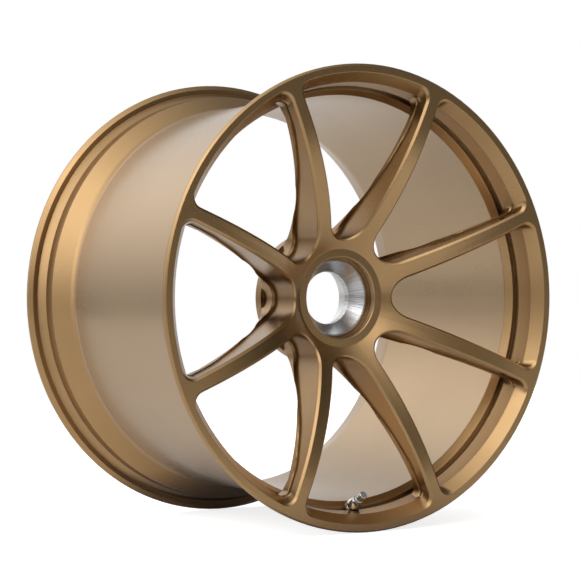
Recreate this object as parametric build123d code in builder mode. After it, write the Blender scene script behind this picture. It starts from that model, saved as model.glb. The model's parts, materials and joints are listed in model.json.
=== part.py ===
from build123d import *
import math
import os

os.makedirs("parts", exist_ok=True)

# Forged centre-lock racing wheel, 12.5 x 20 inch, with its seat insert, drive bushes and valve.
# The wheel turns about Y. Its outer face looks toward -Y, +Z is up, and the origin lies on the
# axis, halfway across the rim. Sizes are in millimetres. A name ending in _r is a radius from the
# wheel's or the piece's own axis, and one ending in _y is a place along Y.

# Rim: bead seats, lips and drum
rim_width = 317.5  # between the bead heels
bead_seat_r = 256.4
flange_height = 17.3
lip_out = 13.5  # outer face of each lip beyond the bead heel
lip_t = 9.6
lip_edge = 2.2  # chamfer along each lip's outer edge
lip_back_edge = 4.8  # and along its edge on the tyre's side
heel_rise = 6.2
heel_run = 10.6
bead_seat_w = 16.5
front_ramp_w = 21.0
rear_ramp_w = 24.0
drum_front_drop = 12.3  # from the bead seat down to the drum
drum_rear_drop = 18.1
drum_wall = 3.5
drum_blend_r = 16.0

# Outer lip, the bevel inside it and the stepped wall behind the windows
lip_ring_w = 9.9
bevel_w = 10.7
bevel_depth = 13.6
wall_w = 18.8
wall_taper = 3.1
groove_w = 8.5
groove_depth = 1.2
step_h = 4.4
step_ramp_w = 9.0

# Inner lip, toward the vehicle
rear_ring_w = 9.7
rear_bevel_w = 15.8
rear_bevel_depth = 19.9
rear_throat_depth = 61.7
rear_blend_r = 30.0

# Spokes and the windows between them
spokes = 8
spoke_hub_r = 93.0  # where the hub-end widths are held
spoke_rim_in = 8.1  # from the bevel's foot in to where the rim-end widths are held
spoke_face_hub_w = 15.8
spoke_face_rim_w = 12.4
spoke_back_hub_w = 29.2
spoke_back_rim_w = 20.8
spoke_chamfer = 2.7
bevel_side_gap = 0.03  # keeps the rim-end bevel off the spokes' chamfered sides
window_hub_r = 67.3  # hub end of a window in the spoke faces
window_through_r = 74.0  # hub end of the opening right through
window_corner_r = 14.0
pocket_corner_r = 9.0
cove_r = 7.0
dish_rim_in = 27.8  # from the bevel's mouth in to where the spoke faces start to dish
dish_depth = 57.85  # from the lip's plane down to the hub's face
floor_hub_depth = 36.4  # pocket floor below the hub's face
floor_bend_depth = 40.2  # pocket floor's bend below the lip's plane
floor_clear = 0.7  # pocket floor below the bevel and its cove
floor_knee_r = 86.0
floor_knee_round = 43.0
floor_bend_round = 166.0
floor_flat_round = 60.2
floor_bend_in = 48.0  # from the flat's start in to the floor's bend
floor_flat_in = 39.1  # from the bevel's foot in to the start of the floor's flat rim end
back_rim_in = 23.1  # from the bevel's foot in to the back's rim end
back_rim_t = 3.6
back_sag = 18.9
root_sink = 2.2  # how far the spokes' ring is buried in the rim

# Hub
hub_face_r = 58.7
counterbore_r = 48.5
counterbore_depth = 10.4
counterbore_edge = 1.0
hub_step_r = 47.4
hub_step_depth = 2.4
insert_r = 45.0
insert_h = 29.6
spigot_r = 42.05
spigot_chamfer = 1.5
wheel_offset = 47.0  # from the rim's middle to the mounting pad
pad_r = 78.5
pad_t = 13.0
pad_chamfer = 1.2

# Centre-lock seat insert
cone_mouth_r = 43.5
cone_end_r = 31.5
cone_depth = 15.0
insert_lip = 1.6
insert_bore_h = 9.0
insert_relief = 4.0

# Drive-pin bushes
bush_count = 5
bush_circle_r = 65.0
bush_r = 9.5
bush_bore_r = 7.5
bush_length = 10.0
bush_recess = 0.2
bush_chamfer = 0.8

# Valve: seat in the rim, and lengths along its own axis from that seat
valve_tilt = 57.5  # from radial, toward the outer face
valve_seat_drop = 9.7  # from the bead seat down to the valve's seat
valve_seat_in = 2.05  # from the bead seat's inner edge to the valve's seat, along Y
valve_grip = 6.0
valve_boss_r = 8.6
valve_foot_boss_r = 6.8
valve_spot_depth = 9.0
stem_r = 3.85
stem_gap = 0.15
stem_tip = 26.8
foot_r = 6.5
foot_t = 3.0
foot_chamfer = 0.6
inner_seal_t = 2.0
washer_t = 1.2
washer_r = 8.2
collar_r = 8.1
collar_foot_r = 7.2
collar_top_r = 5.7
collar_h = 10.8
collar_bands = 6
nut_flats = 11.0
nut_h = 4.0
nut_chamfer = 0.5
cap_r = 4.7
cap_skirt_r = 5.3
cap_skirt_h = 1.8
cap_start = 18.2
cap_gap = 0.1
cap_seal_t = 0.8
cap_top_t = 2.4
cap_edge = 0.5
cap_flutes = 12
cap_flute_r = 0.45

# Valve core
core_bore_r = 2.65
core_bore_depth = 8.8
core_cone_h = 1.4
core_throat_r = 1.95
core_spring_seat = 4.0
air_hole_r = 1.3
core_gap = 0.05
plug_h = 5.4
plug_recess = 1.2
plug_slot_w = 1.3
plug_slot_h = 2.0
plug_hole_r = 1.1
packing_h = 1.3
barrel_h = 4.5
barrel_wall = 0.45
pin_r = 0.45
pin_tip = 0.5
cup_h = 1.4
cup_r = 1.6
pin_travel = 1.2
spring_wire_r = 0.18
spring_coils = 5

# Places that follow from the sizes above
half_width = rim_width / 2 + lip_out
front_y = -half_width
rear_y = half_width
flange_r = bead_seat_r + flange_height
seat_front_y = front_y + lip_t + heel_run
seat_rear_y = rear_y - lip_t - heel_run
drum_front_r = bead_seat_r - drum_front_drop
drum_rear_r = bead_seat_r - drum_rear_drop
ring_in_r = flange_r - lip_ring_w
bevel_foot_r = ring_in_r - bevel_w
bevel_foot_y = front_y + bevel_depth
spoke_rim_r = bevel_foot_r - spoke_rim_in
dish_rim_r = ring_in_r - dish_rim_in
back_rim_r = bevel_foot_r - back_rim_in
floor_flat_r = bevel_foot_r - floor_flat_in
floor_bend_r = floor_flat_r - floor_bend_in
wall_end_r = bevel_foot_r - wall_taper
wall_end_y = bevel_foot_y + wall_w
step_y = wall_end_y + groove_w
step_r = wall_end_r + groove_depth - step_h
drum_start_y = step_y + step_ramp_w
hub_face_y = front_y + dish_depth
pad_y = -wheel_offset
pad_back_y = pad_y - pad_t
insert_top_y = hub_face_y + counterbore_depth + hub_step_depth
insert_seat_y = insert_top_y + insert_h
floor_rim_y = bevel_foot_y + cove_r + floor_clear
half_pitch = 180 / spokes
dish_run = dish_rim_r - hub_face_r
dish_r = (dish_run**2 + dish_depth**2) / (2 * dish_depth)
valve_angle = math.radians(valve_tilt)
valve_seat_y = seat_front_y + bead_seat_w + valve_seat_in
valve_seat_r = bead_seat_r - valve_seat_drop
valve_origin = Vector(0, valve_seat_y, -valve_seat_r)
valve_direction = Vector(0, -math.sin(valve_angle), math.cos(valve_angle))


def across(y):
    """Plane square to the wheel's axis at y, looking out of the outer face."""
    return Plane.XZ.offset(-y)


def valve_plane(height=0.0):
    """Plane square to the valve's axis, a height above its seat in the rim."""
    origin = valve_origin + valve_direction * height
    return Plane(origin=origin, x_dir=(1, 0, 0), z_dir=valve_direction)


valve_axis = Axis(valve_origin, valve_direction)
valve_section = Plane(valve_origin, x_dir=(1, 0, 0), z_dir=Vector(1, 0, 0).cross(valve_direction))


# Rim, from the outer lip's face round the tyre's side and back along the inside. Each corner has
# the radius that rounds it, or 0.
rim_outline = [
    ((ring_in_r, front_y), 0),
    ((flange_r - lip_edge, front_y), 0),
    ((flange_r, front_y + lip_edge), 0),
    ((flange_r, front_y + lip_t - lip_back_edge), 0),
    ((flange_r - lip_back_edge, front_y + lip_t), 0),
    ((bead_seat_r + heel_rise, front_y + lip_t), 0),
    ((bead_seat_r, seat_front_y), 0),
    ((bead_seat_r, seat_front_y + bead_seat_w), 0),
    ((drum_front_r, seat_front_y + bead_seat_w + front_ramp_w), drum_blend_r),
    ((drum_rear_r, seat_rear_y - bead_seat_w - rear_ramp_w), drum_blend_r),
    ((bead_seat_r, seat_rear_y - bead_seat_w), 0),
    ((bead_seat_r, seat_rear_y), 0),
    ((bead_seat_r + heel_rise, rear_y - lip_t), 0),
    ((flange_r - lip_back_edge, rear_y - lip_t), 0),
    ((flange_r, rear_y - lip_t + lip_back_edge), 0),
    ((flange_r, rear_y - lip_edge), 0),
    ((flange_r - lip_edge, rear_y), 0),
    ((flange_r - rear_ring_w, rear_y), 0),
    ((flange_r - rear_ring_w - rear_bevel_w, rear_y - rear_bevel_depth), rear_blend_r),
    ((drum_rear_r - drum_wall, rear_y - rear_throat_depth), rear_blend_r),
    ((drum_front_r - drum_wall, drum_start_y), 0),
    ((step_r, step_y), 0),
    ((wall_end_r + groove_depth, step_y), 0),
    ((wall_end_r, wall_end_y), 0),
    ((bevel_foot_r, bevel_foot_y), 0),
]
with BuildPart() as rim:
    with BuildSketch(Plane.XY):
        with BuildLine():
            FilletPolyline(
                [point for point, radius in rim_outline],
                radius=[radius for point, radius in rim_outline],
                close=True,
            )
        make_face()
    revolve(axis=Axis.Y)


def spoke_half_width(radius, hub_w, rim_w):
    """Half the width of a straight tapered spoke at a radius."""
    slope = (rim_w - hub_w) / (spoke_rim_r - spoke_hub_r)
    return (hub_w + slope * (radius - spoke_hub_r)) / 2


def window_outline(plane, hub_w, rim_w, grow, hub_end_r, rim_end_r, corner_r):
    """Window between two spokes, centred on +X: two straight sides, a round hub end and an arc."""
    turn = math.radians(half_pitch)
    far = 2 * flange_r
    side = []
    for radius in (0, far):
        half = spoke_half_width(radius, hub_w, rim_w) + grow
        x = radius * math.cos(turn) + half * math.sin(turn)
        y = radius * math.sin(turn) - half * math.cos(turn)
        side.append((x, y))
    (x0, y0), (x1, y1) = side
    apex_x = x0 - y0 * (x1 - x0) / (y1 - y0)
    slant = math.atan2(y1 - y0, x1 - x0)
    hub_round = (hub_end_r - apex_x) / (1 / math.sin(slant) - 1)
    with BuildSketch(plane) as outline:
        with BuildLine():
            Polyline((apex_x, 0), (x1, y1), (x1, -y1), close=True)
        make_face()
        Circle(rim_end_r, mode=Mode.INTERSECT)
        fillet(outline.vertices().sort_by_distance((0, 0))[0], hub_round)
        fillet(outline.vertices().sort_by_distance((0, 0))[-2:], corner_r)
    return outline.sketch


def face_window(plane, grow, rim_end_r, corner_r):
    """Window outline in the spoke faces, with each side moved in by grow."""
    hub_end_r = window_hub_r + grow
    widths = (spoke_face_hub_w, spoke_face_rim_w)
    return window_outline(plane, *widths, grow, hub_end_r, rim_end_r, corner_r)


def spoke_face_y(radius):
    """Height of the domed spoke faces, which run flat beyond the dish."""
    reach = max(dish_rim_r - radius, 0)
    return front_y + dish_r - math.sqrt(dish_r**2 - reach**2)


# Pocket between two spokes: a window sunk to a sloping floor, with a cove round its foot. The
# cutting solids start above the lips' plane.
tool_y = front_y - cove_r
with BuildPart() as pocket:
    pocket_rim_r = bevel_foot_r + floor_clear
    outline = face_window(across(tool_y), spoke_chamfer, pocket_rim_r, pocket_corner_r)
    extrude(outline, amount=-tool_y, dir=(0, 1, 0))
    floor_hub_y = hub_face_y + floor_hub_depth
    far_r = flange_r + pad_t
    with BuildSketch(Plane.XY):
        with BuildLine():
            FilletPolyline(
                (0, floor_hub_y),
                (floor_knee_r, floor_hub_y),
                (floor_bend_r, front_y + floor_bend_depth),
                (floor_flat_r, floor_rim_y),
                (far_r, floor_rim_y),
                radius=(floor_knee_round, floor_bend_round, floor_flat_round),
            )
            Polyline((far_r, floor_rim_y), (far_r, 0), (0, 0), (0, floor_hub_y))
        make_face()
    revolve(axis=Axis.Y, mode=Mode.SUBTRACT)
    top_y = tool_y + cove_r / 2
    below = pocket.faces().filter_by(lambda f: f.center().Y > top_y)
    floor_faces = below.filter_by(lambda f: f.normal_at().Y > 0.2)
    floor_edges = [edge for face in floor_faces for edge in face.edges()]
    foot = [edge for edge in floor_edges if sum(edge.is_same(e) for e in floor_edges) == 1]
    fillet(foot, cove_r)

# Opening right through the web at the pocket's floor.
with BuildPart() as opening:
    widths = (spoke_back_hub_w, spoke_back_rim_w)
    through_rim_r = bevel_foot_r - floor_clear
    outline = window_outline(
        across(tool_y), *widths, 0, window_through_r, through_rim_r, pocket_corner_r
    )
    extrude(outline, amount=pad_back_y - tool_y + pad_t / 2, dir=(0, 1, 0))

# Bevel of the window's rim end, opening toward the lip, with its corners fanning out.
bevel_wires = []
for depth in (-root_sink, 0.0, spoke_chamfer, bevel_depth):
    share = depth / bevel_depth
    side = min(depth, spoke_chamfer) + bevel_side_gap
    corner = window_corner_r + (pocket_corner_r - window_corner_r) * share
    outline = face_window(across(front_y + depth), side, ring_in_r - bevel_w * share, corner)
    bevel_wires.append(outline.face().outer_wire())
bevel = Solid.make_loft(bevel_wires, ruled=True)

# One pitch of the spoked centre, from the middle of a spoke to the middle of the next. Its hub is
# left solid out from core_r and bored later.
core_r = spigot_r / 1.5
edge_tol = 0.02
with BuildPart() as pitch:
    with BuildSketch(Plane.XY.rotated((0, -half_pitch, 0))):
        with BuildLine():
            Line((core_r, hub_face_y), (hub_face_r, hub_face_y))
            dish_angle = math.degrees(math.asin(dish_run / dish_r))
            CenterArc((dish_rim_r, front_y + dish_r), dish_r, -90 - dish_angle, dish_angle)
            Polyline(
                (dish_rim_r, front_y),
                (ring_in_r + root_sink, front_y),
                (ring_in_r + root_sink, front_y + bevel_depth / 2),
                (bead_seat_r - root_sink / 2, floor_rim_y),
                (bead_seat_r - root_sink / 2, wall_end_y),
                (bevel_foot_r - floor_clear, wall_end_y),
                (back_rim_r, floor_rim_y + back_rim_t),
            )
            SagittaArc((back_rim_r, floor_rim_y + back_rim_t), (pad_r, pad_back_y), back_sag)
            Polyline((pad_r, pad_back_y), (core_r, pad_back_y), (core_r, hub_face_y))
        make_face()
    revolve(axis=Axis.Y, revolution_arc=2 * half_pitch)
    add(pocket.part, mode=Mode.SUBTRACT)
    add(opening.part, mode=Mode.SUBTRACT)

    def on_spoke_face(edge):
        """True for an outline edge in the spoke faces, away from the pitch's two cut planes."""
        for share in (0.02, 0.5, 0.98):
            point = edge @ share
            radius = math.hypot(point.X, point.Z)
            turn = math.degrees(math.atan2(abs(point.Z), point.X))
            if not hub_face_r + edge_tol < radius < ring_in_r:
                return False
            if half_pitch - turn < edge_tol:
                return False
            if abs(point.Y - spoke_face_y(radius)) > edge_tol:
                return False
        return edge.geom_type != GeomType.CIRCLE or abs(edge.radius - dish_rim_r) > edge_tol

    chamfer(pitch.edges().filter_by(on_spoke_face), spoke_chamfer)
    add(bevel, mode=Mode.SUBTRACT)

# The forging: rim, spoked centre, mounting pad, the hub's bores and the valve's boss.
with BuildPart() as wheel_forging:
    turns = [2 * half_pitch * k for k in range(spokes)]
    add([pitch.part.rotate(Axis.Y, turn) for turn in turns] + [rim.part])
    with BuildSketch(across(pad_back_y)):
        Circle(pad_r)
    extrude(amount=-pad_t)
    pad_edge = wheel_forging.edges().filter_by(GeomType.CIRCLE).sort_by(Axis.Y)
    chamfer([e for e in pad_edge if abs(e.radius - pad_r) < 0.01][-1], pad_chamfer)
    with BuildSketch(Plane.XY):
        with BuildLine():
            Polyline(
                (0, front_y),
                (counterbore_r + counterbore_edge, front_y),
                (counterbore_r + counterbore_edge, hub_face_y),
                (counterbore_r, hub_face_y + counterbore_edge),
                (counterbore_r, hub_face_y + counterbore_depth),
                (hub_step_r, hub_face_y + counterbore_depth),
                (hub_step_r, insert_top_y),
                (insert_r, insert_top_y),
                (insert_r, insert_seat_y),
                (spigot_r, insert_seat_y),
                (spigot_r, pad_y - spigot_chamfer),
                (spigot_r + spigot_chamfer, pad_y),
                (spigot_r + spigot_chamfer, 0),
                (0, 0),
                close=True,
            )
        make_face()
    revolve(axis=Axis.Y, mode=Mode.SUBTRACT)
    with BuildSketch(across(pad_y)):
        with PolarLocations(bush_circle_r, bush_count, start_angle=90):
            Circle(bush_r)
    extrude(amount=bush_recess + bush_length, mode=Mode.SUBTRACT)
    with BuildSketch(valve_plane()):
        Circle(valve_boss_r)
    extrude(amount=-valve_grip / 2)
    with BuildSketch(valve_plane()):
        Circle(valve_foot_boss_r)
    extrude(amount=-valve_grip)
    with BuildSketch(valve_plane()):
        Circle(valve_boss_r)
    extrude(amount=valve_spot_depth, mode=Mode.SUBTRACT)
    with BuildSketch(valve_plane(-valve_grip)):
        Circle(valve_foot_boss_r)
    extrude(amount=-valve_spot_depth, mode=Mode.SUBTRACT)
    with BuildSketch(valve_plane(valve_grip)):
        Circle(stem_r + stem_gap)
    extrude(amount=-3 * valve_grip, mode=Mode.SUBTRACT)
wheel_forging.part.label = "wheel_forging"
export_step(wheel_forging.part, "parts/wheel_forging.step")

# Seat insert that the centre-lock nut's cone bears on.
cone_start_y = insert_top_y + insert_lip
cone_end_y = cone_start_y + cone_depth
with BuildPart() as centre_lock_seat:
    with BuildSketch(Plane.XY):
        with BuildLine():
            Polyline(
                (insert_r, insert_top_y),
                (insert_r, insert_seat_y),
                (spigot_r, insert_seat_y),
                (cone_end_r + insert_relief, cone_end_y + insert_bore_h),
                (cone_end_r, cone_end_y + insert_bore_h),
                (cone_end_r, cone_end_y),
                (cone_mouth_r, cone_start_y),
                (cone_mouth_r, insert_top_y),
                close=True,
            )
        make_face()
    revolve(axis=Axis.Y)
centre_lock_seat.part.label = "centre_lock_seat"
export_step(centre_lock_seat.part, "parts/centre_lock_seat.step")

# Bushes for the hub's drive pins, pressed into the mounting pad.
for n in range(bush_count):
    bush_angle = math.radians(90 + 360 / bush_count * n)
    bush_x = bush_circle_r * math.cos(bush_angle)
    bush_z = bush_circle_r * math.sin(bush_angle)
    bush_plane = Plane((bush_x, pad_y - bush_recess, bush_z), x_dir=(1, 0, 0), z_dir=(0, -1, 0))
    with BuildPart() as drive_bush:
        with BuildSketch(bush_plane):
            Circle(bush_r)
            Circle(bush_bore_r, mode=Mode.SUBTRACT)
        extrude(amount=bush_length)
        mouth = drive_bush.faces().sort_by(Axis.Y)[-1]
        chamfer(mouth.edges(), bush_chamfer)
    drive_bush.part.label = f"drive_bush_{n + 1}"
    export_step(drive_bush.part, f"parts/drive_bush_{n + 1}.step")

# Valve stem, clamped through the rim from the tyre's side.
foot_top = -valve_grip - inner_seal_t
core_shelf = stem_tip - core_bore_depth
with BuildPart() as valve_stem:
    with BuildSketch(valve_section):
        with BuildLine():
            Polyline(
                (air_hole_r, foot_top - foot_t),
                (foot_r - foot_chamfer, foot_top - foot_t),
                (foot_r, foot_top - foot_t + foot_chamfer),
                (foot_r, foot_top),
                (stem_r, foot_top),
                (stem_r, stem_tip - foot_chamfer),
                (stem_r - foot_chamfer, stem_tip),
                (core_bore_r, stem_tip),
                (core_bore_r, core_shelf),
                (core_throat_r, core_shelf - core_cone_h),
                (core_throat_r, core_spring_seat),
                (air_hole_r, core_spring_seat),
                close=True,
            )
        make_face()
    revolve(axis=valve_axis)
valve_stem.part.label = "valve_stem"
export_step(valve_stem.part, "parts/valve_stem.step")

# Rubber seal between the stem's foot and the rim.
with BuildPart() as valve_inner_seal:
    with BuildSketch(valve_plane(foot_top)):
        Circle(foot_r)
        Circle(stem_r + stem_gap, mode=Mode.SUBTRACT)
    extrude(amount=inner_seal_t)
    seal_rims = valve_inner_seal.edges().filter_by(GeomType.CIRCLE)
    chamfer(seal_rims.filter_by(lambda e: e.radius > stem_r + 1), inner_seal_t / 4)
valve_inner_seal.part.label = "valve_inner_seal"
export_step(valve_inner_seal.part, "parts/valve_inner_seal.step")

# Washer under the domed collar.
with BuildPart() as valve_washer:
    with BuildSketch(valve_plane()):
        Circle(washer_r)
        Circle(stem_r + stem_gap, mode=Mode.SUBTRACT)
    extrude(amount=washer_t)
valve_washer.part.label = "valve_washer"
export_step(valve_washer.part, "parts/valve_washer.step")

# Domed collar, turned in narrow bands along an arc.
collar_top = washer_t + collar_h
dome_arc = Edge.make_three_point_arc(
    (collar_foot_r, washer_t), (collar_r, washer_t + collar_h / 3), (collar_top_r, collar_top)
)
dome = [dome_arc @ (step / collar_bands) for step in range(collar_bands + 1)]
with BuildPart() as valve_collar:
    with BuildSketch(valve_section):
        with BuildLine():
            Line((stem_r + stem_gap, washer_t), (collar_foot_r, washer_t))
            Polyline(*dome)
            Polyline(
                (collar_top_r, collar_top),
                (stem_r + stem_gap, collar_top),
                (stem_r + stem_gap, washer_t),
            )
        make_face()
    revolve(axis=valve_axis)
valve_collar.part.label = "valve_collar"
export_step(valve_collar.part, "parts/valve_collar.step")

# Hexagon nut that clamps the valve.
nut_top = collar_top + nut_h
with BuildPart() as valve_nut:
    with BuildSketch(valve_plane(collar_top)):
        RegularPolygon(nut_flats / 2, 6, major_radius=False)
    extrude(amount=nut_h)
    with BuildSketch(valve_section):
        with BuildLine():
            nut_crest = nut_flats / math.sqrt(3)
            Polyline(
                (0, collar_top),
                (nut_crest, collar_top),
                (nut_crest, nut_top - nut_chamfer),
                (nut_flats / 2, nut_top),
                (0, nut_top),
                close=True,
            )
        make_face()
    revolve(axis=valve_axis, mode=Mode.INTERSECT)
    with BuildSketch(valve_plane(collar_top)):
        Circle(stem_r + core_gap)
    extrude(amount=nut_h, mode=Mode.SUBTRACT)
valve_nut.part.label = "valve_nut"
export_step(valve_nut.part, "parts/valve_nut.step")

# Seal ring inside the cap, on the stem's rim.
seal_top = stem_tip + cap_seal_t
with BuildPart() as valve_cap_seal:
    with BuildSketch(valve_plane(stem_tip)):
        Circle(stem_r)
        Circle(core_bore_r, mode=Mode.SUBTRACT)
    extrude(amount=cap_seal_t)
valve_cap_seal.part.label = "valve_cap_seal"
export_step(valve_cap_seal.part, "parts/valve_cap_seal.step")

# Screw cap with a flared skirt and grip flutes.
cap_top = seal_top + cap_top_t
skirt_top = cap_start + cap_skirt_h
with BuildPart() as valve_cap:
    with BuildSketch(valve_section):
        with BuildLine():
            Polyline(
                (stem_r + cap_gap, cap_start),
                (cap_skirt_r, cap_start),
                (cap_skirt_r, skirt_top - cap_edge),
                (cap_skirt_r - cap_edge, skirt_top),
                (cap_r, skirt_top),
                (cap_r, cap_top - cap_edge),
                (cap_r - cap_edge, cap_top),
                (0, cap_top),
            )
            Polyline((0, cap_top), (0, seal_top), (stem_r + cap_gap, seal_top))
            Line((stem_r + cap_gap, seal_top), (stem_r + cap_gap, cap_start))
        make_face()
    revolve(axis=valve_axis)
    with BuildSketch(valve_plane(skirt_top + cap_edge)):
        with PolarLocations(cap_r + cap_flute_r / 3, cap_flutes):
            Circle(cap_flute_r)
    extrude(amount=cap_top - skirt_top - 3 * cap_edge, mode=Mode.SUBTRACT)
valve_cap.part.label = "valve_cap"
export_step(valve_cap.part, "parts/valve_cap.step")

# Core plug, slotted for the core key.
plug_top = stem_tip - plug_recess
plug_foot = plug_top - plug_h
with BuildPart() as core_plug:
    with BuildSketch(valve_plane(plug_foot)):
        Circle(core_bore_r - core_gap)
        Circle(plug_hole_r, mode=Mode.SUBTRACT)
    extrude(amount=plug_h)
    with BuildSketch(valve_plane(plug_top)):
        Rectangle(2 * core_bore_r, plug_slot_w)
    extrude(amount=-plug_slot_h, mode=Mode.SUBTRACT)
core_plug.part.label = "core_plug"
export_step(core_plug.part, "parts/core_plug.step")

# Core barrel, with the neck that the packing ring sits on.
neck_r = core_throat_r - barrel_wall
packing_top = core_shelf + core_gap
packing_foot = packing_top - packing_h
barrel_foot = packing_foot - barrel_h / 2
with BuildPart() as core_barrel:
    with BuildSketch(valve_section):
        with BuildLine():
            Polyline(
                (neck_r - barrel_wall, barrel_foot),
                (core_throat_r - core_gap, barrel_foot),
                (core_throat_r - core_gap, packing_foot),
                (neck_r, packing_foot),
                (neck_r, packing_top),
                (core_bore_r - core_gap, packing_top),
                (core_bore_r - core_gap, plug_foot),
                (neck_r - barrel_wall, plug_foot),
                close=True,
            )
        make_face()
    revolve(axis=valve_axis)
core_barrel.part.label = "core_barrel"
export_step(core_barrel.part, "parts/core_barrel.step")

# Packing ring, tapered to the stem's inner seat.
with BuildPart() as core_packing:
    with BuildSketch(valve_section):
        with BuildLine():
            Polyline(
                (neck_r, packing_foot),
                (core_throat_r - core_gap, packing_foot),
                (core_bore_r - core_gap, packing_top),
                (neck_r, packing_top),
                close=True,
            )
        make_face()
    revolve(axis=valve_axis)
core_packing.part.label = "core_packing"
export_step(core_packing.part, "parts/core_packing.step")

# Core pin and the cup on it, which closes the barrel's foot.
cup_foot = barrel_foot - cup_h
pin_foot = core_spring_seat - pin_travel
with BuildPart() as core_pin:
    with BuildSketch(valve_plane(pin_foot)):
        Circle(pin_r)
    extrude(amount=stem_tip - pin_tip - pin_foot)
core_pin.part.label = "core_pin"
export_step(core_pin.part, "parts/core_pin.step")

with BuildPart() as core_cup:
    with BuildSketch(valve_plane(cup_foot)):
        Circle(cup_r)
        Circle(pin_r, mode=Mode.SUBTRACT)
    extrude(amount=cup_h)
core_cup.part.label = "core_cup"
export_step(core_cup.part, "parts/core_cup.step")

# Return spring, between its shelf in the stem and the cup.
spring_r = core_throat_r - core_gap - spring_wire_r
spring_foot = core_spring_seat + spring_wire_r
spring_h = cup_foot - pin_travel - 2 * spring_wire_r - spring_foot
with BuildPart() as core_spring:
    with BuildLine(valve_plane(spring_foot)) as coil:
        lead = spring_h / spring_coils
        Helix(pitch=lead, height=spring_h, radius=spring_r, direction=valve_direction)
    with BuildSketch(Plane(coil.wires()[0] @ 0, z_dir=coil.wires()[0] % 0)):
        RegularPolygon(spring_wire_r, 6)
    sweep(path=coil.wires()[0], is_frenet=True)
core_spring.part.label = "core_spring"
export_step(core_spring.part, "parts/core_spring.step")
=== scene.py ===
"""Forged centre-lock racing wheel: finishes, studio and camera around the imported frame."""

import json
import logging
import math
from dataclasses import dataclass, field
from enum import Enum
from typing import Protocol

import bpy
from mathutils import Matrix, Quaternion, Vector

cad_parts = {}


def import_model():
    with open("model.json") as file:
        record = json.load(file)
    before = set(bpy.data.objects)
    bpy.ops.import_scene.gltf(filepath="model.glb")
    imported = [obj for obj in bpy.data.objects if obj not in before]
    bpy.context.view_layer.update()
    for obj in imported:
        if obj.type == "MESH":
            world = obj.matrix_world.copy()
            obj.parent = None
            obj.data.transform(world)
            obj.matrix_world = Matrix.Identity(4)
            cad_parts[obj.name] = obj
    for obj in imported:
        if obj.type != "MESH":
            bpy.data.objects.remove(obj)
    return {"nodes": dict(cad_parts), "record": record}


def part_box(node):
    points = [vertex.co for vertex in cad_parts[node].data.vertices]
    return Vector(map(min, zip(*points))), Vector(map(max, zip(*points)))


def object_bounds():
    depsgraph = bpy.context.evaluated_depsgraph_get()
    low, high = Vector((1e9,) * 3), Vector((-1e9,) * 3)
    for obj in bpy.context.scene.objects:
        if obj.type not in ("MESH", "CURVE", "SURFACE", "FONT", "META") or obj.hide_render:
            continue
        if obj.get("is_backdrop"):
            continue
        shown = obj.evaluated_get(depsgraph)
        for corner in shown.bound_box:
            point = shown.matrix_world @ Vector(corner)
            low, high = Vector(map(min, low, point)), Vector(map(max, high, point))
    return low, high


log = logging.getLogger("wheel")

Colour = tuple[float, float, float, float]
Point = tuple[float, float, float]

WHITE: Colour = (1.0, 1.0, 1.0, 1.0)
MIRRORED = ("Is Glossy Ray", "Is Transmission Ray")
COLOUR_A, COLOUR_B, COLOUR_RESULT = 6, 7, 2  # the Mix node's sockets for colours


class Grain(Enum):
    """Which way the fine lines of a turned or ground surface run."""

    AROUND_WHEEL = "rings about the wheel's axis"
    # On the cone seat these rays are painted reflection streaks in its colour, as well as a bump.
    ALONG_RADIUS = "rays out from the wheel's axis"
    AROUND_VALVE = "rings about the valve's axis"


class Wiring:
    """A node tree under construction, with short calls for its nodes and links."""

    def __init__(self, tree: bpy.types.NodeTree) -> None:
        """Work on a node tree."""
        self.tree = tree

    def node(self, kind: str, **settings: object) -> bpy.types.Node:
        """Add a node of a kind, with its settings.

        Args:
            kind: the node's type, without its ShaderNode prefix.
            settings: attributes to set on the node.

        Returns:
            The new node.
        """
        made = self.tree.nodes.new(f"ShaderNode{kind}")
        for key, value in settings.items():
            setattr(made, key, value)
        return made

    def link(self, source: bpy.types.NodeSocket, target: bpy.types.NodeSocket) -> None:
        """Join an output to an input."""
        self.tree.links.new(source, target)

    def supply(self, target: bpy.types.NodeSocket, value: object) -> None:
        """Give an input a socket to follow, or a constant.

        Args:
            target: the input.
            value: the socket or the constant.
        """
        if isinstance(value, bpy.types.NodeSocket):
            self.link(value, target)
        else:
            target.default_value = value

    def maths(self, operation: str, *values: object, clamp: bool = False) -> bpy.types.NodeSocket:
        """Add a Math node whose inputs are sockets or plain numbers.

        Args:
            operation: the Math node's operation.
            values: one socket or number for each input.
            clamp: True to keep the result between 0 and 1.

        Returns:
            The node's output.
        """
        made = self.node("Math", operation=operation, use_clamp=clamp)
        for slot, value in zip(made.inputs, values):
            self.supply(slot, value)
        return made.outputs[0]

    def noise(self, place: bpy.types.NodeSocket, scale: object, detail: float) -> bpy.types.NodeSocket:
        """Add a smooth noise.

        Args:
            place: where the noise is read.
            scale: its scale, as a socket or a number.
            detail: how many finer layers it has.

        Returns:
            The noise's socket, from 0 to 1.
        """
        made = self.node("TexNoise", noise_dimensions="3D")
        made.inputs["Detail"].default_value = detail
        self.link(place, made.inputs["Vector"])
        self.supply(made.inputs["Scale"], scale)
        return made.outputs["Fac"]

    def from_axis(self, x: bpy.types.NodeSocket, z: bpy.types.NodeSocket) -> bpy.types.NodeSocket:
        """Distance of a point from the Y axis."""
        squares = self.maths("ADD", self.maths("MULTIPLY", x, x), self.maths("MULTIPLY", z, z))
        return self.maths("SQRT", squares)


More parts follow.
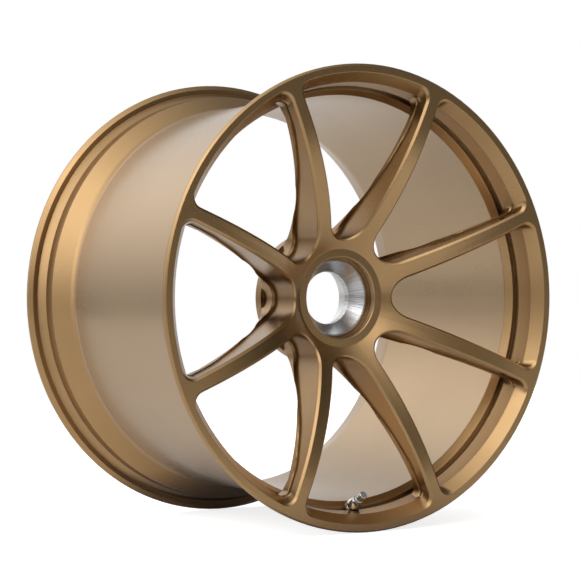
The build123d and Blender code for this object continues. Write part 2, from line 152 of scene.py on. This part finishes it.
class Group(Wiring):
    """A shader node group under construction."""

    def __init__(self, name: str, outputs: dict[str, str], **inputs: float | None) -> None:
        """Start a group with its sockets.

        Args:
            name: the group's name in the file.
            outputs: each output's kind, by name.
            inputs: each input's default, by name, or None for a place.
        """
        super().__init__(bpy.data.node_groups.new(name, "ShaderNodeTree"))
        for key, default in inputs.items():
            kind = "NodeSocketVector" if default is None else "NodeSocketFloat"
            made = self.tree.interface.new_socket(key, in_out="INPUT", socket_type=kind)
            if default is not None:
                made.default_value = default
        for key, kind in outputs.items():
            self.tree.interface.new_socket(key, in_out="OUTPUT", socket_type=f"NodeSocket{kind}")
        self.inputs = self.tree.nodes.new("NodeGroupInput").outputs
        self.outputs = self.tree.nodes.new("NodeGroupOutput").inputs

    def place(self) -> bpy.types.NodeSocket:
        """Where a point lies on the piece, in metres."""
        return self.node("TexCoord").outputs["Object"]

    def split(self, place: bpy.types.NodeSocket) -> tuple[bpy.types.NodeSocket, ...]:
        """Take a place apart.

        Args:
            place: the place's socket.

        Returns:
            Its X, Y and Z.
        """
        apart = self.node("SeparateXYZ")
        self.link(place, apart.inputs[0])
        return tuple(apart.outputs[axis] for axis in "XYZ")

    def join(self, x: object, y: object, z: object) -> bpy.types.NodeSocket:
        """Put a place together.

        Args:
            x: the first coordinate, as a socket or a number.
            y: the second.
            z: the third.

        Returns:
            The place's socket.
        """
        made = self.node("CombineXYZ")
        for slot, value in zip(made.inputs, (x, y, z)):
            self.supply(slot, value)
        return made.outputs[0]


SAMPLES = 6  # rays of the edge rounding and of the painted shade in corners
EDGE_GAIN = 9.0  # how soon a rounded edge counts as fully worn
WEAR_SPREAD, WEAR_START = 1.6, -0.25  # how the wear's noise is stretched
RING_SWIRL = 1.5  # how much rings change as they go round
RAY_SHARE = 0.06  # rays in a radian, as a share of the pitch
RAY_DRIFT = 40.0  # how soon a ray fades along its length, per metre


def edge_group() -> bpy.types.NodeTree:
    """Rounded normals along sharp edges, and a mask of those edges, broken up by noise.

    Returns:
        A node group with Radius and Break inputs, and Mask and Normal outputs.
    """
    group = Group("edge_round", {"Mask": "Float", "Normal": "Vector"}, Radius=0.001, Break=60.0)
    rounded = group.node("Bevel", samples=SAMPLES)
    group.link(group.inputs["Radius"], rounded.inputs["Radius"])
    dot = group.node("VectorMath", operation="DOT_PRODUCT")
    group.link(rounded.outputs["Normal"], dot.inputs[0])
    group.link(group.node("NewGeometry").outputs["Normal"], dot.inputs[1])
    turned = group.maths("SUBTRACT", 1.0, dot.outputs["Value"])
    noise = group.noise(group.place(), group.inputs["Break"], detail=3.0)
    uneven = group.maths("MULTIPLY_ADD", noise, WEAR_SPREAD, WEAR_START, clamp=True)
    mask = group.maths("MULTIPLY", group.maths("MULTIPLY", turned, EDGE_GAIN, clamp=True), uneven)
    group.link(mask, group.outputs["Mask"])
    group.link(rounded.outputs["Normal"], group.outputs["Normal"])
    return group.tree


def turned_group() -> bpy.types.NodeTree:
    """Fine lathe or brush lines that follow circles of an axis along Y, and streaks along its radii that
    paint reflection on the seat.

    Returns:
        A node group with Place, Pitch and Radial inputs, and a Lines output from 0 to 1.
    """
    group = Group("turned_lines", {"Lines": "Float"}, Place=None, Pitch=900.0, Radial=0.0)
    x, y, z = group.split(group.inputs["Place"])
    radius = group.from_axis(x, z)
    turn = group.maths("ARCTAN2", z, x)
    pitch = group.inputs["Pitch"]
    around = group.join(
        group.maths("MULTIPLY", radius, pitch),
        group.maths("MULTIPLY", y, pitch),
        group.maths("MULTIPLY", turn, RING_SWIRL),
    )
    outward = group.join(
        group.maths("MULTIPLY", turn, group.maths("MULTIPLY", pitch, RAY_SHARE)),
        group.maths("MULTIPLY", radius, RAY_DRIFT),
        group.maths("MULTIPLY", y, RAY_DRIFT),
    )
    blend = group.node("Mix", data_type="FLOAT")
    group.link(group.inputs["Radial"], blend.inputs["Factor"])
    group.link(group.noise(around, scale=1.0, detail=2.0), blend.inputs["A"])
    group.link(group.noise(outward, scale=1.0, detail=3.0), blend.inputs["B"])
    group.link(blend.outputs[0], group.outputs["Lines"])
    return group.tree


def cloud_group() -> bpy.types.NodeTree:
    """Slow, soft variation over a surface, with a finer speckle in it.

    Returns:
        A node group with Size and Speckle inputs, and Cloud and Fleck outputs from 0 to 1.
    """
    group = Group("soft_cloud", {"Cloud": "Float", "Fleck": "Float"}, Size=8.0, Speckle=1500.0)
    group.link(group.noise(group.place(), group.inputs["Size"], detail=4.0), group.outputs["Cloud"])
    group.link(group.noise(group.place(), group.inputs["Speckle"], detail=1.0), group.outputs["Fleck"])
    return group.tree


def band_group() -> bpy.types.NodeTree:
    """Mask of what lies outside a radius, between two places along the wheel's axis.

    Returns:
        A node group with Front, Rear, Bore and Soft inputs in metres, and a Band output.
    """
    group = Group("barrel_band", {"Band": "Float"}, Front=-0.12, Rear=0.11, Bore=0.23, Soft=0.003)
    x, y, z = group.split(group.place())
    front, rear, bore, soft = (group.inputs[name] for name in ("Front", "Rear", "Bore", "Soft"))
    past_front = group.maths("DIVIDE", group.maths("SUBTRACT", y, front), soft, clamp=True)
    before_rear = group.maths("DIVIDE", group.maths("SUBTRACT", rear, y), soft, clamp=True)
    outside = group.maths("DIVIDE", group.maths("SUBTRACT", group.from_axis(x, z), bore), soft, clamp=True)
    ends = group.maths("MULTIPLY", past_front, before_rear)
    group.link(group.maths("MULTIPLY", ends, outside), group.outputs["Band"])
    return group.tree


@dataclass(frozen=True)
class Axis:
    """A line that a pattern turns about."""

    place: Point
    way: Point

    def turn(self) -> tuple[float, float, float]:
        """The angles that swing the Y axis onto this one."""
        return tuple(Vector((0.0, 1.0, 0.0)).rotation_difference(Vector(self.way)).to_euler())


@dataclass
class Toolbox:
    """The shader node groups that several finishes share, and the valve's axis."""

    valve: Axis
    edges: bpy.types.NodeTree = field(default_factory=edge_group)
    turned: bpy.types.NodeTree = field(default_factory=turned_group)
    cloud: bpy.types.NodeTree = field(default_factory=cloud_group)
    band: bpy.types.NodeTree = field(default_factory=band_group)


class Surface(Wiring):
    """A material under construction, with its Principled shader."""

    def __init__(self, name: str, tools: Toolbox) -> None:
        """Start a material with an empty node tree and one shader.

        Args:
            name: the material's name.
            tools: the shared node groups.
        """
        self.tools = tools
        self.material = bpy.data.materials.new(name)
        self.material.use_nodes = True
        super().__init__(self.material.node_tree)
        self.tree.nodes.clear()
        self.shader = self.node("BsdfPrincipled")
        self.link(self.shader.outputs["BSDF"], self.node("OutputMaterial").inputs["Surface"])

    def set(self, **values: object) -> None:
        """Set constants on the shader's own sockets, with _ for a space in a name."""
        for key, value in values.items():
            self.shader.inputs[key.replace("_", " ")].default_value = value

    def feed(self, name: str, source: bpy.types.NodeSocket) -> None:
        """Link a socket to one of the shader's inputs."""
        self.link(source, self.shader.inputs[name])

    def group(self, tree: bpy.types.NodeTree, **values: float) -> bpy.types.bpy_prop_collection:
        """Place a shared group with its own input values.

        Args:
            tree: the group.
            values: input values by name.

        Returns:
            The group's outputs, by name.
        """
        made = self.node("Group", node_tree=tree)
        for key, value in values.items():
            made.inputs[key].default_value = value
        return made.outputs

    def edges(self, radius: float, patches: float) -> bpy.types.bpy_prop_collection:
        """Round and wear the sharp edges.

        Args:
            radius: the edges' radius in metres.
            patches: how finely the wear is broken up.

        Returns:
            The Mask and Normal outputs.
        """
        return self.group(self.tools.edges, Radius=radius, Break=patches)

    def lines(self, pitch: float, grain: Grain) -> bpy.types.NodeSocket:
        """Lay fine lines on the surface.

        Args:
            pitch: lines in a metre. Rays have RAY_SHARE of it in each radian.
            grain: which way the lines run.

        Returns:
            The lines' socket, from 0 to 1.
        """
        made = self.node("Group", node_tree=self.tools.turned)
        made.inputs["Pitch"].default_value = pitch
        made.inputs["Radial"].default_value = float(grain is Grain.ALONG_RADIUS)
        place = self.node("TexCoord").outputs["Object"]
        if grain is Grain.AROUND_VALVE:
            shift = self.node("Mapping", vector_type="TEXTURE")
            shift.inputs["Location"].default_value = self.tools.valve.place
            shift.inputs["Rotation"].default_value = self.tools.valve.turn()
            self.link(place, shift.inputs["Vector"])
            place = shift.outputs["Vector"]
        self.link(place, made.inputs["Place"])
        return made.outputs["Lines"]

    def mix_colour(self, mask: bpy.types.NodeSocket, low: object, high: object) -> bpy.types.NodeSocket:
        """Blend two colours by a mask.

        Args:
            mask: a value from 0 to 1.
            low: colour or socket at 0.
            high: colour or socket at 1.

        Returns:
            The blended colour's socket.
        """
        made = self.node("Mix", data_type="RGBA")
        for key, value in (("Factor", mask), (COLOUR_A, low), (COLOUR_B, high)):
            self.supply(made.inputs[key], value)
        return made.outputs[COLOUR_RESULT]

    def ramp(
        self,
        source: bpy.types.NodeSocket,
        low: float,
        high: float,
        from_low: float = 0.3,
        from_high: float = 0.7,
    ) -> bpy.types.NodeSocket:
        """Map a value onto a range, clamped. The usual incoming range is a smooth noise's.

        Args:
            source: the value.
            low: result at from_low.
            high: result at from_high.
            from_low: start of the incoming range.
            from_high: end of the incoming range.

        Returns:
            The mapped value's socket.
        """
        made = self.node("MapRange")
        ends = {"From Min": from_low, "From Max": from_high, "To Min": low, "To Max": high}
        for key, value in ends.items():
            made.inputs[key].default_value = value
        self.link(source, made.inputs["Value"])
        return made.outputs["Result"]

    def bump(
        self,
        height: bpy.types.NodeSocket,
        depth: float,
        under: bpy.types.NodeSocket,
    ) -> bpy.types.NodeSocket:
        """Raise a surface by a height map.

        Args:
            height: the height, from 0 to 1.
            depth: the height's size in metres.
            under: normal that the bump is laid on.

        Returns:
            The normal's socket.
        """
        made = self.node("Bump")
        made.inputs["Distance"].default_value = depth
        made.inputs["Strength"].default_value = 1.0
        self.link(height, made.inputs["Height"])
        self.link(under, made.inputs["Normal"])
        return made.outputs["Normal"]

    def openness(self, reach: float, shut: float, free: float) -> bpy.types.NodeSocket:
        """Find how open a spot is to its surroundings.

        Args:
            reach: how far away a neighbouring surface still counts, in metres.
            shut: the share of open sky at which a spot counts as a tight corner.
            free: the share at which it counts as an open face.

        Returns:
            A value from 0 in a tight corner to 1 on an open face.
        """
        made = self.node("AmbientOcclusion", samples=SAMPLES)
        made.inputs["Distance"].default_value = reach
        return self.ramp(made.outputs["AO"], 0.0, 1.0, shut, free)


class Finish(Protocol):
    """Anything that can make a material from the shared node groups."""

    def make(self, tools: Toolbox) -> bpy.types.Material:
        """Build the material."""


@dataclass(frozen=True)
class GoldCoat:
    """Satin gold-bronze coat: a painted pale sheen down the barrel, painted shade in tight corners, thin on
    sharp edges, absent in the hub's bore.

    Sizes are in metres. Mottle, flecks, lines and worn patches are counted per metre.
    """

    barrel_front: float
    barrel_rear: float
    barrel_bore: float
    hub_bore: float
    base: Colour = (0.49, 0.30, 0.13, 1.0)
    deep: Colour = (0.42, 0.255, 0.105, 1.0)
    # painted reflection: the paler colour that stands in for the white backdrop's sheen on the barrel
    painted_barrel_sheen: Colour = (0.48, 0.335, 0.195, 1.0)
    # painted shade: the dark brown that tight corners and deep pockets are painted toward
    painted_recess_shade: Colour = (0.12, 0.06, 0.02, 1.0)
    edge: Colour = (0.68, 0.50, 0.29, 1.0)
    bare: Colour = (0.80, 0.79, 0.77, 1.0)
    metallic: float = 0.92
    gloss: float = 0.50
    gloss_roughness: float = 0.20
    roughness: float = 0.30
    roughness_spread: float = 0.05
    mottle: float = 7.0
    fleck: float = 1800.0
    fleck_depth: float = 0.000012
    line_pitch: float = 1400.0
    line_depth: float = 0.000006
    edge_radius: float = 0.0011
    edge_patches: float = 45.0
    edge_full: float = 0.45
    painted_shade_reach: float = 0.06
    painted_shade_shut: float = 0.35
    painted_shade_free: float = 0.85
    barrel_blend: float = 0.002
    bore_blend: float = 0.0005
    past_ends: float = 1.0  # from the wheel's middle to well beyond either end

    def colour(self, surface: Surface, mottle: bpy.types.NodeSocket, wear: bpy.types.NodeSocket) -> None:
        """Feed the coat's colour: mottled gold, a painted pale sheen on the barrel, painted shade in tight
        corners, bright on worn edges.

        Args:
            surface: the material under construction.
            mottle: the slow variation.
            wear: the edges' mask.
        """
        band = surface.tools.band
        barrel = surface.group(
            band,
            Front=self.barrel_front,
            Rear=self.barrel_rear,
            Bore=self.barrel_bore,
            Soft=self.barrel_blend,
        )
        outside_bore = surface.group(
            band,
            Front=-self.past_ends,
            Rear=self.past_ends,
            Bore=self.hub_bore,
            Soft=self.bore_blend,
        )
        # Painted shade: ambient occlusion darkens the coat toward a dark brown in tight corners and deep
        # pockets.
        openness = surface.openness(self.painted_shade_reach, self.painted_shade_shut, self.painted_shade_free)
        coat = surface.mix_colour(surface.ramp(mottle, 0.0, 1.0), self.deep, self.base)
        # Painted reflection: the barrel between the bead seats turns paler, standing in for the white
        # backdrop that its satin coat reflects.
        body = surface.mix_colour(barrel["Band"], coat, self.painted_barrel_sheen)
        body = surface.mix_colour(openness, self.painted_recess_shade, body)
        worn = surface.mix_colour(surface.ramp(wear, 0.0, self.edge_full, 0.0, 1.0), body, self.edge)
        surface.feed("Base Color", surface.mix_colour(outside_bore["Band"], self.bare, worn))

    def make(self, tools: Toolbox) -> bpy.types.Material:
        """Build the material.

        Args:
            tools: the shared node groups.

        Returns:
            The finished material.
        """
        surface = Surface("gold_coat", tools)
        surface.set(Metallic=self.metallic, Coat_Weight=self.gloss, Coat_Roughness=self.gloss_roughness)
        cloud = surface.group(tools.cloud, Size=self.mottle, Speckle=self.fleck)
        edges = surface.edges(self.edge_radius, self.edge_patches)
        self.colour(surface, cloud["Cloud"], edges["Mask"])
        low, high = self.roughness - self.roughness_spread, self.roughness + self.roughness_spread
        surface.feed("Roughness", surface.ramp(cloud["Cloud"], high, low))
        fleck = surface.bump(cloud["Fleck"], self.fleck_depth, edges["Normal"])
        lines = surface.lines(self.line_pitch, Grain.AROUND_WHEEL)
        surface.feed("Normal", surface.bump(lines, self.line_depth, fleck))
        return surface.material


@dataclass(frozen=True)
class BareMetal:
    """Uncoated metal with fine lines from the lathe, and rounded, unevenly worn edges. With the radial grain,
    as on the seat, the lines are painted reflection streaks in the colour as well as a bump.

    Sizes are in metres. Lines and worn patches are counted per metre.
    """

    name: str
    base: Colour
    dark: Colour
    roughness: float
    grain: Grain = Grain.AROUND_VALVE
    pitch: float = 1600.0
    depth: float = 0.00002
    rougher: float = 0.06
    smoother: float = 0.04
    edge_radius: float = 0.0003
    edge_patches: float = 300.0

    def make(self, tools: Toolbox) -> bpy.types.Material:
        """Build the material.

        Args:
            tools: the shared node groups.

        Returns:
            The finished material.
        """
        surface = Surface(self.name, tools)
        surface.set(Metallic=1.0)
        lines = surface.lines(self.pitch, self.grain)
        edges = surface.edges(self.edge_radius, self.edge_patches)
        body = surface.mix_colour(surface.ramp(lines, 0.0, 1.0), self.dark, self.base)
        surface.feed("Base Color", surface.mix_colour(edges["Mask"], body, self.base))
        rough = surface.ramp(lines, self.roughness + self.rougher, self.roughness - self.smoother)
        surface.feed("Roughness", rough)
        surface.feed("Normal", surface.bump(lines, self.depth, edges["Normal"]))
        return surface.material


@dataclass(frozen=True)
class SoftPlastic:
    """Moulded rubber or plastic with a faint mottle.

    Sizes are in metres. Mottle, flecks and worn patches are counted per metre.
    """

    name: str
    base: Colour
    worn: Colour
    roughness: float
    rougher: float = 0.12
    mottle: float = 160.0
    mottle_share: float = 0.6
    fleck: float = 3500.0
    fleck_depth: float = 0.00002
    edge_radius: float = 0.0003
    edge_patches: float = 500.0

    def make(self, tools: Toolbox) -> bpy.types.Material:
        """Build the material.

        Args:
            tools: the shared node groups.

        Returns:
            The finished material.
        """
        surface = Surface(self.name, tools)
        surface.set(Metallic=0.0)
        cloud = surface.group(tools.cloud, Size=self.mottle, Speckle=self.fleck)
        edges = surface.edges(self.edge_radius, self.edge_patches)
        body = surface.mix_colour(surface.ramp(cloud["Cloud"], 0.0, self.mottle_share), self.base, self.worn)
        surface.feed("Base Color", surface.mix_colour(edges["Mask"], body, self.worn))
        surface.feed("Roughness", surface.ramp(cloud["Fleck"], self.roughness, self.roughness + self.rougher))
        surface.feed("Normal", surface.bump(cloud["Fleck"], self.fleck_depth, edges["Normal"]))
        return surface.material


# painted reflection: strong light and dark radial streaks stand in for the bright fans that the turned cone
# reflects
SEAT_PAINTED_STREAKS = BareMetal(
    "turned_seat_painted_streaks",
    base=(0.90, 0.90, 0.90, 1),
    dark=(0.30, 0.30, 0.32, 1),
    roughness=0.22,
    grain=Grain.ALONG_RADIUS,
    pitch=1900.0,
)
BUSH_STEEL = BareMetal(
    "ground_steel",
    base=(0.56, 0.56, 0.57, 1),
    dark=(0.40, 0.40, 0.41, 1),
    roughness=0.30,
    grain=Grain.AROUND_WHEEL,
)
NICKEL = BareMetal(
    "nickel_plate", base=(0.78, 0.75, 0.71, 1), dark=(0.66, 0.63, 0.60, 1), roughness=0.14, depth=0.000004
)
CAP_METAL = BareMetal(
    "cap_aluminium", base=(0.84, 0.84, 0.85, 1), dark=(0.66, 0.66, 0.67, 1), roughness=0.20, depth=0.000006
)
BRASS = BareMetal("core_brass", base=(0.72, 0.52, 0.24, 1), dark=(0.58, 0.40, 0.17, 1), roughness=0.26)
SPRING_STEEL = BareMetal(
    "spring_wire", base=(0.58, 0.58, 0.60, 1), dark=(0.42, 0.42, 0.44, 1), roughness=0.25
)
RUBBER = SoftPlastic(
    "seal_rubber", base=(0.018, 0.018, 0.019, 1), worn=(0.045, 0.045, 0.047, 1), roughness=0.55
)
PACKING = SoftPlastic(
    "packing_plastic", base=(0.78, 0.78, 0.75, 1), worn=(0.86, 0.86, 0.84, 1), roughness=0.40
)


@dataclass
class Assembly:
    """A group of the wheel's pieces, each with the finish it wears."""

    name: str

    def finishes(self) -> dict[str, Finish]:
        """Each piece's finish, by the piece's name."""
        raise NotImplementedError

    def dress(
        self,
        nodes: dict[str, bpy.types.Object],
        made: dict[Finish, bpy.types.Material],
        tools: Toolbox,
    ) -> None:
        """Give every piece of the group its finish.

        Args:
            nodes: the frame's pieces by name.
            made: materials made so far, by finish.
            tools: the shared node groups.
        """
        for node, finish in self.finishes().items():
            if finish not in made:
                made[finish] = finish.make(tools)
            piece = nodes[node]
            piece.data.materials.clear()
            piece.data.materials.append(made[finish])
            log.info("%s: %s wears %s", self.name, node, made[finish].name)


@dataclass
class Rim(Assembly):
    """The forging: lips, bead seats, barrel, spokes and hub in one piece. Sizes are in metres."""

    name: str = "rim"
    lip_depth: float = 0.049
    rear_lip_depth: float = 0.062
    barrel_radius: float = 0.230
    bore_radius: float = 0.044

    def finishes(self) -> dict[str, Finish]:
        """The coat, with a painted pale sheen on the barrel between the two bead seats.

        Returns:
            The forging's finish, by its name.
        """
        low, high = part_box("wheel_forging")
        front, rear = low[1] + self.lip_depth, high[1] - self.rear_lip_depth
        return {"wheel_forging": GoldCoat(front, rear, self.barrel_radius, self.bore_radius)}


@dataclass
class Hub(Assembly):
    """The pressed-in cone seat and the drive-pin bushes."""

    name: str = "hub"
    bush_count: int = 5

    def finishes(self) -> dict[str, Finish]:
        """Painted radial reflection streaks on the seat, and ground steel in the bushes."""
        bushes = {f"drive_bush_{number}": BUSH_STEEL for number in range(1, self.bush_count + 1)}
        return {"centre_lock_seat": SEAT_PAINTED_STREAKS, **bushes}


@dataclass
class Valve(Assembly):
    """The clamp-in valve's body, seals, nut and cap."""

    name: str = "valve"

    def finishes(self) -> dict[str, Finish]:
        """Nickel plate on the body, bare aluminium on the cap, black rubber seals.

        Returns:
            Each piece's finish, by the piece's name.
        """
        plated = ("valve_stem", "valve_washer", "valve_collar", "valve_nut")
        seals = ("valve_inner_seal", "valve_cap_seal")
        return {"valve_cap": CAP_METAL, **dict.fromkeys(plated, NICKEL), **dict.fromkeys(seals, RUBBER)}


@dataclass
class ValveCore(Assembly):
    """The small valve inside the stem."""

    name: str = "valve core"

    def finishes(self) -> dict[str, Finish]:
        """Brass, with a white packing ring and a wire spring."""
        turned = ("core_plug", "core_barrel", "core_pin", "core_cup")
        return {**dict.fromkeys(turned, BRASS), "core_packing": PACKING, "core_spring": SPRING_STEEL}


def toward(azimuth: float, elevation: float) -> Vector:
    """Point in a direction from the wheel's middle.

    Args:
        azimuth: degrees round the wheel: 0 in front of the outer face, 90 toward +X.
        elevation: degrees above level.

    Returns:
        A unit vector.
    """
    turn, rise = math.radians(azimuth), math.radians(elevation)
    return Vector((math.sin(turn) * math.cos(rise), -math.cos(turn) * math.cos(rise), math.sin(rise)))


class Sky(Wiring):
    """The world's nodes under construction."""

    def __init__(self, tree: bpy.types.NodeTree) -> None:
        """Start with the direction that a ray leaves in.

        Args:
            tree: the world's node tree, emptied.
        """
        super().__init__(tree)
        self.rays = self.node("LightPath").outputs
        way = self.node("VectorMath", operation="NORMALIZE")
        self.link(self.node("TexCoord").outputs["Generated"], way.inputs[0])
        self.way = way.outputs["Vector"]

    def facing(self, azimuth: float, elevation: float, sharpness: float) -> bpy.types.NodeSocket:
        """A soft lobe, 1 toward a direction and 0 at right angles to it.

        Args:
            azimuth: degrees round the wheel.
            elevation: degrees above level.
            sharpness: the lobe's power; a higher one is narrower.

        Returns:
            The lobe's socket.
        """
        dot = self.node("VectorMath", operation="DOT_PRODUCT")
        dot.inputs[1].default_value = toward(azimuth, elevation)
        self.link(self.way, dot.inputs[0])
        return self.maths("POWER", self.maths("MAXIMUM", dot.outputs["Value"], 0.0), sharpness)

    def background(self, strength: object) -> bpy.types.NodeSocket:
        """A plain white background.

        Args:
            strength: a number, or the socket that gives the brightness.

        Returns:
            The background's shader socket.
        """
        made = self.node("Background")
        made.inputs["Color"].default_value = WHITE
        self.supply(made.inputs["Strength"], strength)
        return made.outputs[0]


@dataclass(frozen=True)
class Glow:
    """A wide soft light far from the wheel. Its angles are in degrees."""

    azimuth: float
    elevation: float
    strength: float
    sharpness: float = 8.0

    def add(self, sky: Sky) -> bpy.types.NodeSocket:
        """The glow's brightness in the world."""
        return sky.maths("MULTIPLY", sky.facing(self.azimuth, self.elevation, self.sharpness), self.strength)


@dataclass
class Camera:
    """Long lens level with the axis, to the left of the wheel's outer face.

    Angles are in degrees, distances in metres, and the lens and its sensor in millimetres.
    """

    azimuth: float = -32.9
    elevation: float = 0.2
    roll: float = -0.4
    distance: float = 2.74
    right: float = 0.0016
    up: float = 0.0095
    lens: float = 138.0
    sensor: float = 36.0

    def place(self) -> None:
        """Create the camera and make it the scene's own."""
        back = toward(self.azimuth, self.elevation)
        aim = (-back).to_track_quat("-Z", "Y")
        right, up = aim @ Vector((1, 0, 0)), aim @ Vector((0, 1, 0))
        data = bpy.data.cameras.new("studio_camera")
        data.sensor_width = self.sensor
        data.lens = self.lens
        camera = bpy.data.objects.new("studio_camera", data)
        bpy.context.scene.collection.objects.link(camera)
        camera.rotation_mode = "QUATERNION"
        camera.location = back * self.distance + right * self.right + up * self.up
        camera.rotation_quaternion = Quaternion(back, math.radians(self.roll)) @ aim
        bpy.context.scene.camera = camera


@dataclass
class Studio:
    """Pale floor, a white backdrop behind the wheel, and soft lights around it.

    Sizes are in metres and angles in degrees. The lens sees a floor_glow of 1 as white. A shine is
    what the metal sees of the floor or of the backdrop.
    """

    floor_size: float = 5.0
    floor_gap: float = 0.0004
    floor_roughness: float = 0.9
    floor_gloss: float = 0.1
    floor_tone: float = 0.8
    floor_glow: float = 0.8
    floor_shine: float = 0.06
    backdrop_azimuth: float = 147.0
    backdrop_elevation: float = 0.0
    backdrop_sharpness: float = 4.0
    backdrop_shine: float = 0.8
    glows: tuple[Glow, ...] = (
        Glow(-50.0, 45.0, 2.0),
        Glow(-100.0, 25.0, 1.8, sharpness=7.0),
        Glow(0.0, 50.0, 0.7),
        Glow(-160.0, 35.0, 1.2, sharpness=6.0),
        Glow(0.0, 90.0, 0.5),
        Glow(30.0, 0.0, 0.15),
    )

    def make_floor(self, base_z: float) -> None:
        """Lay the floor under the wheel.

        The lens sees it brighter than it is lit, so that it looks white and still takes a shadow.

        Args:
            base_z: the height that the wheel stands on.
        """
        bpy.ops.object.select_all(action="DESELECT")
        bpy.ops.mesh.primitive_plane_add(size=self.floor_size, location=(0.0, 0.0, base_z - self.floor_gap))
        floor = bpy.context.active_object
        floor.name = "studio_floor"
        material = bpy.data.materials.new("studio_floor")
        material.use_nodes = True
        wiring = Wiring(material.node_tree)
        shader = wiring.tree.nodes["Principled BSDF"].inputs
        shader["Base Color"].default_value = (self.floor_tone,) * 3 + (1.0,)
        shader["Roughness"].default_value = self.floor_roughness
        shader["Specular IOR Level"].default_value = self.floor_gloss
        shader["Emission Color"].default_value = WHITE
        rays = wiring.node("LightPath").outputs
        glow = wiring.maths("MULTIPLY", rays["Is Camera Ray"], self.floor_glow)
        for ray in MIRRORED:
            glow = wiring.maths("MULTIPLY_ADD", rays[ray], self.floor_shine, glow)
        wiring.link(glow, shader["Emission Strength"])
        floor.data.materials.append(material)
        floor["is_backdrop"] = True

    def make_world(self) -> None:
        """Surround the wheel: white to the lens, a white backdrop in the metal, soft glows for light."""
        world = bpy.data.worlds.new("studio")
        bpy.context.scene.world = world
        world.use_nodes = True
        world.node_tree.nodes.clear()
        sky = Sky(world.node_tree)
        behind = sky.facing(self.backdrop_azimuth, self.backdrop_elevation, self.backdrop_sharpness)
        mirrored = sky.maths("MAXIMUM", *(sky.rays[ray] for ray in MIRRORED))
        light = sky.maths("MULTIPLY", sky.maths("MULTIPLY", behind, self.backdrop_shine), mirrored)
        for glow in self.glows:
            light = sky.maths("ADD", light, glow.add(sky))
        mix = sky.node("MixShader")
        sky.link(sky.rays["Is Camera Ray"], mix.inputs[0])
        sky.link(sky.background(light), mix.inputs[1])
        sky.link(sky.background(1.0), mix.inputs[2])
        sky.link(mix.outputs[0], sky.node("OutputWorld").inputs["Surface"])


def valve_axis(record: dict) -> Axis:
    """Find the valve's axis from the joint that the cap turns on.

    Args:
        record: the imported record.

    Returns:
        The axis.
    """
    joint = next(joint for joint in record["behaviour"]["joints"] if joint["name"] == "cap_turn")
    return Axis(tuple(joint["pos_m"]), tuple(joint["axis"]))


def main() -> None:
    """Dress the frame's pieces, then set up the studio and the camera."""
    logging.basicConfig(level=logging.INFO, format="%(name)s: %(message)s")
    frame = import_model()
    cad_low, cad_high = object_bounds()
    tools = Toolbox(valve_axis(frame["record"]))
    made: dict[Finish, bpy.types.Material] = {}
    for assembly in (Rim(), Hub(), Valve(), ValveCore()):
        assembly.dress(frame["nodes"], made, tools)
    studio = Studio()
    studio.make_floor(cad_low.z)
    studio.make_world()
    Camera().place()
    bpy.context.scene.view_settings.view_transform = "Standard"


if __name__ == "__main__":
    main()
